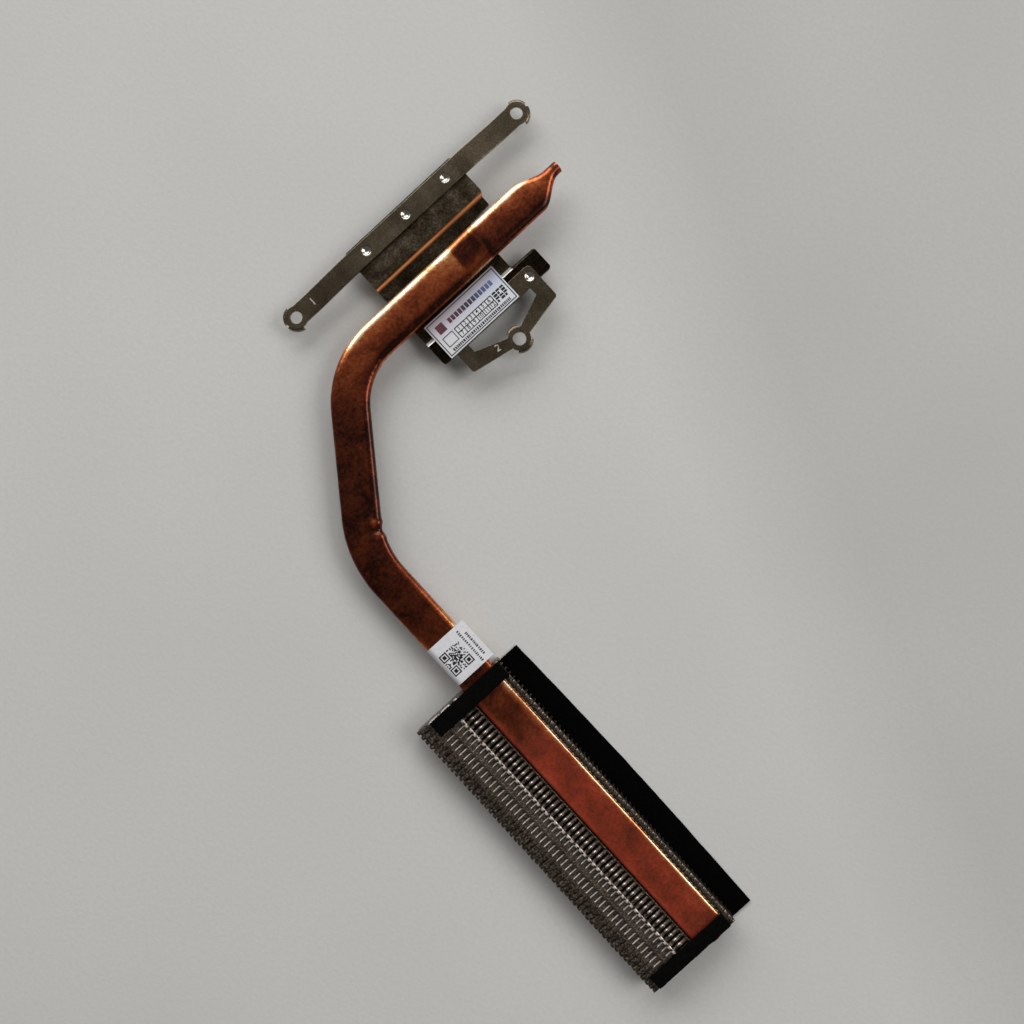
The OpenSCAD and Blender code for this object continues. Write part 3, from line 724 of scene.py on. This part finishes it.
# Half of the rivet's section: distance from the axis and height over the spring
profile = [(dish_radius * i / 5, dish_depth * ((i / 5) ** 2 - 1)) for i in range(6)]
profile += [(0.93, 0.01), (0.95, -0.04), (0.95, -shank), (1.3, -shank),
            (1.3, -shank - 0.22), (1.2, -shank - closed_head), (0, -shank - closed_head)]
for row, y, pitch in (("arm", arm_y, arm_rivets), ("bracket", bracket_rivets_y, bracket_rivets)):
    for number, x in ((1, -pitch), (2, 0), (3, pitch)):
        bm = bmesh.new()
        axle = Vector((x, y, rivet_top)) * MM
        points = [bm.verts.new(axle + Vector((r, 0, h)) * MM) for r, h in profile]
        edges = [bm.edges.new(pair) for pair in zip(points, points[1:])]
        bmesh.ops.spin(bm, geom=points + edges, cent=axle, axis=(0, 0, 1), angle=2 * math.pi, steps=28,
                       use_merge=True)
        bmesh.ops.remove_doubles(bm, verts=bm.verts[:], dist=1e-6)
        normals_out(bm)
        rivet = piece_from(bm, f"{row}_rivet_{number}_turned", rivet_steel, crease=40)
        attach(rivet, "root")
        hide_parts(f"{row}_rivet_{number}")


# The fin stack: 57 fins blanked from thin plated aluminium. Each is folded at its top and bottom to a
# flange that reaches the next fin, and small tabs in the flanges hook into the next one.
fin_count = 57
fin_pitch = 1.215
fin_sheet = 0.2
first_fin_y = -62.2
fin_top = 5.0
fin_bottom = 0.4
fold_radius = 0.25
flange_end = fin_pitch - 0.03
flange_lap = 0.12
groove_side = 3.95
groove_bottom = 2.4
# Where cuts and tabs begin across the fin, from the pipe's middle. Minus is the fan side
across_cuts = [-5.1, -4.7, -groove_side, groove_side, 4.2, 5.75, 5.85, 6.45, 6.55, 7.6, 7.75, 7.9, 8.05,
               8.2, 9.5, 10.2, 10.4, 10.65, 10.9, 12.7, 13.3, 13.9, 14.5, 15.1, 15.6, 16.1]
slotted = [(-5.1, -4.7), (4.2, 7.6), (8.05, 9.5), (10.9, 12.7), (15.6, 16.1)]
wide_slots = [(4.2, 7.6), (15.6, 16.1)]
hooked = [(7.75, 8.05), (10.4, 10.65)]
# Down the blank: each station's place behind the fin's near face, and its height
blank = [(flange_end, fin_bottom), (fold_radius, fin_bottom)]
blank += [(fold_radius * (1 - math.sin(a)), fin_bottom + fold_radius * (1 - math.cos(a)))
          for a in (math.pi / 4, math.pi / 2)]
blank += [(0, groove_bottom), (0, fin_top - 0.6)]
blank += [(fold_radius * (1 - math.cos(a)), fin_top - fold_radius * (1 - math.sin(a)))
          for a in (0, math.pi / 6, math.pi / 3, math.pi / 2)]
blank += [(0.5, fin_top), (0.9, fin_top), (flange_end, fin_top), (fin_pitch + 0.32, fin_top)]
groove_row, fold_start, fold_end, slot_start, flange_row, hook_row = 4, 6, 9, 11, 12, 13
# How bright each place across the fin is: wear, and painted highlights where folds, dots and hooks catch
# the light
rubbing_and_highlight = [(-5, 0.4), (-3.9, 0.3), (3.9, 0.1), (4.2, 0), (5.7, 0.02), (5.85, 0.85), (6.45, 0.85),
           (6.55, 0.02), (7.6, 0.05), (7.7, 1), (8.1, 1), (9.5, 0.95), (10.2, 0.3), (10.4, 0.75),
           (10.7, 0.75), (10.9, 0.95), (12.7, 0.95), (13.0, 0.2), (13.9, 0)]
columns = len(across_cuts) - 1
rows = len(blank) - 1
draw = random.Random(7)


def within(start, end, spans):
    """Whether a cell from start to end lies in one of the spans."""
    return any(start >= low and end <= high for low, high in spans)


bm = bmesh.new()
wear_and_highlight_layer = bm.verts.layers.float.new("wear_and_highlight")
for count in range(fin_count):
    fin_y = first_fin_y - count * fin_pitch
    last = count == fin_count - 1
    points = bmesh.ops.create_grid(bm, x_segments=columns, y_segments=rows, size=0.5)["verts"]
    cut_away = []
    cells = sorted({face for point in points for face in point.link_faces}, key=lambda face: face.index)
    for face in cells:
        centre = face.calc_center_median()
        column = int((centre.x + 0.5) * columns)
        row = int((centre.y + 0.5) * rows)
        start, end = across_cuts[column], across_cuts[column + 1]
        crumpled = start >= 13.9 or start < -4.8
        if row >= groove_row and within(start, end, [(-groove_side, groove_side)]):
            cut = True
        elif row == hook_row - 1:
            cut = last or not within(start, end, hooked)
        elif row == slot_start:
            cut = within(start, end, slotted) or last or crumpled and draw.random() < 0.5
        elif row == slot_start - 1:
            cut = last or within(start, end, wide_slots)
        else:
            cut = last and row in (0, fold_end)
        if cut:
            cut_away.append(face)
    bent = [draw.uniform(-0.12, 0.1) for _ in range(4)]
    lowered = [draw.uniform(0.0, 0.22) for _ in range(4)]
    fan_edge = [draw.uniform(-0.06, 0.06) for _ in range(2)]
    lean = draw.uniform(-0.03, 0.03)
    hook_rise = draw.uniform(0.15, 0.2)
    for point in points:
        column = round((point.co.x + 0.5) * columns)
        row = round((point.co.y + 0.5) * rows)
        across = across_cuts[column]
        big_hook = 7.7 < across < 8.1
        small_hook = 10.3 < across < 10.7
        behind, height = blank[row]
        if row >= fold_start:
            behind += lean if row < slot_start else 0
            if big_hook and row < flange_row:
                height += hook_rise
            elif big_hook:
                height += hook_rise * 0.9 if row == flange_row else 0.06
            elif small_hook:
                height += 0.06
            elif 5.8 < across < 6.5:
                height += 0.1
            elif across >= 14.4:
                crumple = column - across_cuts.index(14.5)
                behind += bent[crumple]
                height -= lowered[crumple]
            elif column < 2:
                behind += fan_edge[column]
                height -= abs(fan_edge[column])
        # On the fan side the flanges lap over the pipe's rounded edge
        lap = flange_lap if row >= fold_end and across == -groove_side else 0
        point.co = Vector((stack_x - across - lap, fin_y - behind, height)) * MM
        # The folds and hooks get painted highlights, the flats between them and both edges are dirty and
        # dark
        rows_worn_and_lit = 1 if row < fold_end else 0.55 if row == fold_end else 0.12
        if big_hook:
            rows_worn_and_lit = 1 if row < slot_start else 0.55
        elif small_hook:
            rows_worn_and_lit = 0.9 if row < slot_start else 0.4
        point[wear_and_highlight_layer] = between(across, rubbing_and_highlight) * rows_worn_and_lit if row >= fold_start else 0.35
    bmesh.ops.delete(bm, geom=cut_away, context="FACES")
normals_out(bm)
stained_fins, tree, shader = new_finish("stained_fin_sheet")
fin_place = object_place(tree)
haze = grain(tree, fin_place, 2.5, detail=4)
dust = grain(tree, fin_place, 0.35, detail=4, roughness=0.75)
wear_and_highlight = add(tree, "ShaderNodeAttribute", {}, attribute_name="wear_and_highlight").outputs["Fac"]
blend = levels(tree, maths(tree, "ADD", haze, dust), 0.7, 1.3, 0, 1)
clean = tones(tree, blend, [(0.0, "#544940"), (0.5, "#75685e"), (1.0, "#a09186")])
dirty = tones(tree, levels(tree, dust, 0.3, 0.7, 0, 1), [
    (0.15, "#0f0b07"), (0.5, "#31271e"), (0.75, "#736556")])
# Painted highlight colour for the folds, dots and hooks
bright = tones(tree, dust, [(0.3, "#b4a89e"), (0.7, "#ece3da")])
dull = mix(tree, levels(tree, wear_and_highlight, 0, 0.5, 0, 1), dirty, clean)
feed(shader, Base_Color=mix(tree, levels(tree, wear_and_highlight, 0.55, 1, 0, 1), dull, bright))
# Dirt and the painted highlights on the edges are less metallic than the sheet
under_dirt = levels(tree, wear_and_highlight, 0, 0.5, 0.6, 1)
on_edges = levels(tree, wear_and_highlight, 0.6, 1, 1, 0.35)
feed(shader, Metallic=maths(tree, "MULTIPLY", under_dirt, on_edges))
feed(shader, Roughness=levels(tree, wear_and_highlight, 0, 0.5, 0.6, 0.24))
fins = piece_from(bm, "folded_fins", stained_fins, crease=50)
sheet = fins.modifiers.new("sheet", "SOLIDIFY")
sheet.thickness = fin_sheet * MM
sheet.offset = -1
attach(fins, "root")
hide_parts("fin_stack")


# The foam bands: two strips of soft black foam tape over the ends of the stack, which seal it against
# the case. They are cut by knife, so their long edges waver a little and their tops are open-celled.
def soft_box(bm, low, high, edge):
    """A box between two corners, with its edges rounded by edge, all in mm."""
    place = Matrix.Translation((low + high) / 2 * MM)
    bmesh.ops.create_cube(bm, size=1, matrix=place @ Matrix.Diagonal((*((high - low) * MM), 1)))
    round_edges(bm, bm.edges[:], edge)


black_foam, tree, shader = new_finish("open_cell_foam", Roughness=1.0, Specular_IOR_Level=0.06)
pores = grain(tree, object_place(tree), 0.3, roughness=0.7)
feed(shader, Base_Color=tones(tree, pores, [(0.35, "#020202"), (0.6, "#090807"), (0.75, "#171412")]))
feed(shader, Normal=relief(tree, pores, 0.12))
foam_height = 0.9
foam_bands = (("near_foam", (-63.7, -65.8), (-45.7, -62.25)),
              ("far_foam", (-65.4, last_fin_y), (-46.8, -127.54)))
for name, low, high in foam_bands:
    bm = bmesh.new()
    soft_box(bm, Vector((*low, fin_top)), Vector((*high, fin_top + foam_height)), 0.18)
    long_edges = [e for e in bm.edges if e.calc_length() > 4 * MM]
    bmesh.ops.subdivide_edges(bm, edges=long_edges, cuts=40, use_grid_fill=True)
    short_edges = [e for e in bm.edges if 1.5 * MM < e.calc_length() < 4 * MM]
    bmesh.ops.subdivide_edges(bm, edges=short_edges, cuts=6, use_grid_fill=True)
    for point in bm.verts:
        place = point.co / MM
        top = (place.z - fin_top) / foam_height
        waver = noise.noise(place * 0.9) * 0.09 + noise.noise(place * 3.1) * 0.04
        point.co.y += waver * (0.3 + 0.7 * top) * MM
        point.co.z -= top * (0.05 + 0.06 * noise.noise(place * 1.3)) * MM
    foam = piece_from(bm, name + "_tape", black_foam, crease=60)
    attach(foam, "root")
    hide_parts(name)


# The sealing strip: a flat strip of soft black cloth-backed rubber, stuck under the fins' fan side. It
# lies on the table beside the stack, and closes the gap to the fan's housing.
black_seal, tree, shader = new_finish("matt_black_rubber", Roughness=0.95, Specular_IOR_Level=0.03)
nap = grain(tree, object_place(tree), 0.5, detail=4)
feed(shader, Base_Color=tones(tree, nap, [(0.3, "#010101"), (0.8, "#060606")]))
feed(shader, Normal=relief(tree, nap, 0.03))
strip_low = Vector((-48.2, -131.64, 0.0))
strip_high = Vector((-41.3, -62.8, 0.4))
bm = bmesh.new()
soft_box(bm, strip_low, strip_high, 0.08)
bmesh.ops.subdivide_edges(bm, edges=[e for e in bm.edges if e.calc_length() > 20 * MM], cuts=60)
for point in bm.verts:
    # The free edge bows out and wavers
    if point.co.x > -43 * MM:
        along = (point.co.y / MM - strip_low.y) / (strip_high.y - strip_low.y)
        waver = 0.06 * noise.noise(point.co / MM * 0.4)
        point.co.x += (0.5 * math.sin(along * math.pi) - 0.06 + waver) * MM
strip = piece_from(bm, "sealing_strip_rubber", black_seal, crease=60)
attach(strip, "root")
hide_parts("sealing_strip")


# The pipe's label: a coated paper sticker, wrapped over the flattened pipe beside the stack. One side
# follows the rounded edge, the other stands off as a flap. It carries a square code and two short rows.
print_film = 0.015


def film(bm, low, high, level):
    """A thin printed patch between two corners in mm: level gives the paper's height at each x."""
    made = bmesh.ops.create_cube(bm, size=1)["verts"]
    for point in made:
        x = low[0] if point.co.x < 0 else high[0]
        y = low[1] if point.co.y < 0 else high[1]
        point.co = Vector((x, y, level(x) + (0 if point.co.z < 0 else print_film))) * MM


def face_up(bm):
    """Turns a sheet's faces up."""
    if sum(face.normal.z for face in bm.faces) < 0:
        bmesh.ops.reverse_faces(bm, faces=bm.faces[:])


def print_in(bm, name, material):
    """Makes the printed patches into one piece, which rides with its paper."""
    printed = piece_from(bm, name, material)
    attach(printed, "root")


coated_paper, tree, shader = new_finish("coated_label_paper", Roughness=0.45)
fibres = grain(tree, object_place(tree), 0.7, detail=4)
feed(shader, Base_Color=tones(tree, fibres, [(0.3, "#d6d5d8"), (0.7, "#e6e5e7")]))
feed(shader, Normal=relief(tree, fibres, 0.01))
ink, tree, shader = new_finish("black_thermal_print", Roughness=0.5)
feed(shader, Base_Color=tones(tree, grain(tree, object_place(tree), 0.3), [
    (0.3, "#0e0e10"), (0.8, "#24242a")]))
pipe_top = 5.0
paper = 0.1
flat_half = (pipe_width - pipe_thick) / 2
round_edge = pipe_thick / 2 + paper
edge_share = 0.3
flap = 2.8
label_start = -51.6
label_end = -60.7


def wrapped_height(x):
    """The top face of the label over the pipe, at x mm."""
    across = x - stack_x
    if across > flat_half:
        share = (across - flat_half) / flap
        return pipe_top + paper - 0.26 * share - 0.03 * math.sin(share * math.pi)
    if across < -flat_half:
        inwards = min(-flat_half - across, round_edge)
        return pipe_level + math.sqrt(max(round_edge**2 - inwards**2, 0.0))
    return pipe_top + paper


bm = bmesh.new()
bmesh.ops.create_grid(bm, x_segments=30, y_segments=12, size=0.5)
for point in bm.verts:
    share = point.co.x + 0.5
    if share < edge_share:
        angle = math.pi / 2 * share / edge_share
        x = stack_x - flat_half - round_edge * math.cos(angle)
        z = pipe_level + round_edge * math.sin(angle)
    else:
        x = stack_x - flat_half + (2 * flat_half + flap) * (share - edge_share) / (1 - edge_share)
        z = wrapped_height(x)
    y = label_start + (label_end - label_start) * (point.co.y + 0.5)
    point.co = Vector((x, y, z)) * MM
normals_out(bm)
face_up(bm)
bmesh.ops.solidify(bm, geom=bm.faces[:], thickness=paper * MM)
wrapped_label = piece_from(bm, "pipe_label_paper", coated_paper)
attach(wrapped_label, "root")
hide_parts("pipe_label")

# The square code is made up of random cells round three plain corner squares, so it says nothing
cells_across = 21
cell = 0.24
code_width = cell * cells_across
code_lift = 0.023
code_left = stack_x - 2.96
code_top = label_start - 2.4
corners = [(0, 0), (0, 14), (14, 14)]
draw = random.Random(3)
dark_cells = set()
for row in range(cells_across):
    for column in range(cells_across):
        dark = draw.random() < 0.5
        for corner_column, corner_row in corners:
            ring = max(abs(column - corner_column - 3), abs(row - corner_row - 3))
            if ring <= 4:
                dark = ring in (0, 1, 3)
        if dark:
            dark_cells.add((column, row))
bm = bmesh.new()
bmesh.ops.create_grid(bm, x_segments=cells_across, y_segments=cells_across, size=0.5)
blank_cells = []
for face in bm.faces:
    centre = face.calc_center_median()
    column = int((centre.x + 0.5) * cells_across)
    row = int((0.5 - centre.y) * cells_across)
    if (column, row) not in dark_cells:
        blank_cells.append(face)
bmesh.ops.delete(bm, geom=blank_cells, context="FACES")
for point in bm.verts:
    x = code_left + (point.co.x + 0.5) * code_width
    y = code_top - (0.5 - point.co.y) * code_width
    point.co = Vector((x, y, wrapped_height(x) + code_lift)) * MM
bmesh.ops.solidify(bm, geom=bm.faces[:], thickness=print_film * MM)
# Two short rows of strokes stand beside it
for across, start, end in ((3.15, 1.0, 8.5), (4.25, 2.3, 7.6)):
    along = start
    while along < end:
        stroke = draw.uniform(0.16, 0.34)
        x = stack_x + across
        reach_out = draw.uniform(0.2, 0.3)
        film(bm, (x - reach_out, label_start - along - stroke), (x + 0.24, label_start - along),
             wrapped_height)
        along += stroke + draw.uniform(0.14, 0.26)
print_in(bm, "pipe_label_print", ink)


# The plate's label: a paper sticker with a clear coat, stuck over the bracket's root bar. It has a dark
# border, a shaded upper band, a box to write in and twelve numbered boxes to tick.
printed_paper, tree, shader = new_finish("shaded_label_paper", Roughness=0.35)
spot = add(tree, "ShaderNodeSeparateXYZ", {"Vector": object_place(tree)})
shade = levels(tree, spot.outputs["Y"], -9.4 * MM, -4.8 * MM, 0, 1)
warm = tones(tree, shade, [(0.0, "#dcdcde"), (0.45, "#c6bec6"), (1.0, "#857878")])
cool = tones(tree, shade, [(0.0, "#dfe2e6"), (0.45, "#c4cbdc"), (1.0, "#8a8286")])
share = levels(tree, spot.outputs["X"], -12 * MM, 5 * MM, 0, 1)
feed(shader, Base_Color=mix(tree, share, warm, cool))
sheet_left = -12.4
sheet_top = -4.6
sheet_long = 17.9
sheet_deep = 8.1
paper_level = 4.1
number_lift = 0.014
bm = bmesh.new()
bmesh.ops.create_grid(bm, x_segments=36, y_segments=16, size=0.5)
for point in bm.verts:
    x = sheet_left + sheet_long * (point.co.x + 0.5)
    y = sheet_top - sheet_deep * (0.5 - point.co.y)
    point.co = Vector((x, y, paper_level)) * MM
face_up(bm)
bmesh.ops.solidify(bm, geom=bm.faces[:], thickness=paper * MM)
plate_label = piece_from(bm, "plate_label_paper", printed_paper)
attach(plate_label, "root")
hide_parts("base_label")


def on_sheet(bm, left, top, right, bottom):
    """A printed patch, given in mm from the label's upper left corner."""
    film(bm, (sheet_left + left, sheet_top - bottom), (sheet_left + right, sheet_top - top),
         lambda x: paper_level)


def frame_line(bm, left, top, right, bottom, line):
    """The outline of a printed box."""
    on_sheet(bm, left, top, right, top + line)
    on_sheet(bm, left, bottom - line, right, bottom)
    on_sheet(bm, left, top + line, left + line, bottom - line)
    on_sheet(bm, right - line, top + line, right, bottom - line)


border = 0.28
bm = bmesh.new()
frame_line(bm, border, border, sheet_long - border, sheet_deep - border, 0.2)
# The box to write in, then the boxes to tick
frame_line(bm, 1.15, 4.05, 3.75, 6.3, 0.17)
box_left, box_top, box_width, box_height, line = 4.2, 4.05, 1.58, 1.15, 0.19
for row in range(3):
    top = box_top + row * box_height
    on_sheet(bm, box_left, top, box_left + 6 * box_width + line, top + line)
for column in range(7):
    for row in range(2):
        left = box_left + column * box_width
        top = box_top + row * box_height
        on_sheet(bm, left, top + line, left + line, top + box_height)
# Plain dark blocks to the right of the boxes
for column in range(3):
    for row in range(2):
        left = 14.15 + column
        top = box_top + row * 1.2
        on_sheet(bm, left, top, left + 0.85, top + 0.4)
        on_sheet(bm, left, top + 0.55, left + 0.85 - 0.4 * ((row + column) % 2), top + 1.05)
print_in(bm, "plate_label_print", ink)
for number in range(12):
    x = sheet_left + box_left + (number % 6 + 0.54) * box_width
    y = sheet_top - box_top - (number // 6 + 0.55) * box_height
    numeral = stamped_number(str(number + 1), 1.15, x, y, paper_level + number_lift, 0, ink,
                             f"box_number_{number + 1}")
    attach(numeral, "root")
faded_ink, tree, shader = new_finish("faded_colour_print", Roughness=0.4)
spot = add(tree, "ShaderNodeSeparateXYZ", {"Vector": object_place(tree)})
share = levels(tree, spot.outputs["X"], -8.5 * MM, 3.5 * MM, 0, 1)
feed(shader, Base_Color=tones(tree, share, [
    (0.0, "#5c3240"), (0.5, "#3c3442"), (1.0, "#5f6c94")]))
bm = bmesh.new()
for block in range(13):
    left = 4.4 + block * 0.89
    on_sheet(bm, left, 1.75, left + 0.7, 2.85)
on_sheet(bm, 1.5, 1.4, 3.3, 3.3)
print_in(bm, "plate_label_bar", faded_ink)
grey_ink = new_finish("grey_line_print", Roughness=0.5, Base_Color=linear("#34343a"))[0]
bm = bmesh.new()
along = 1.4
while along < 16.4:
    stroke = draw.uniform(0.18, 0.42)
    on_sheet(bm, along, 6.85, along + stroke, 7.45)
    along += stroke + draw.uniform(0.1, 0.18)
print_in(bm, "plate_label_line", grey_ink)
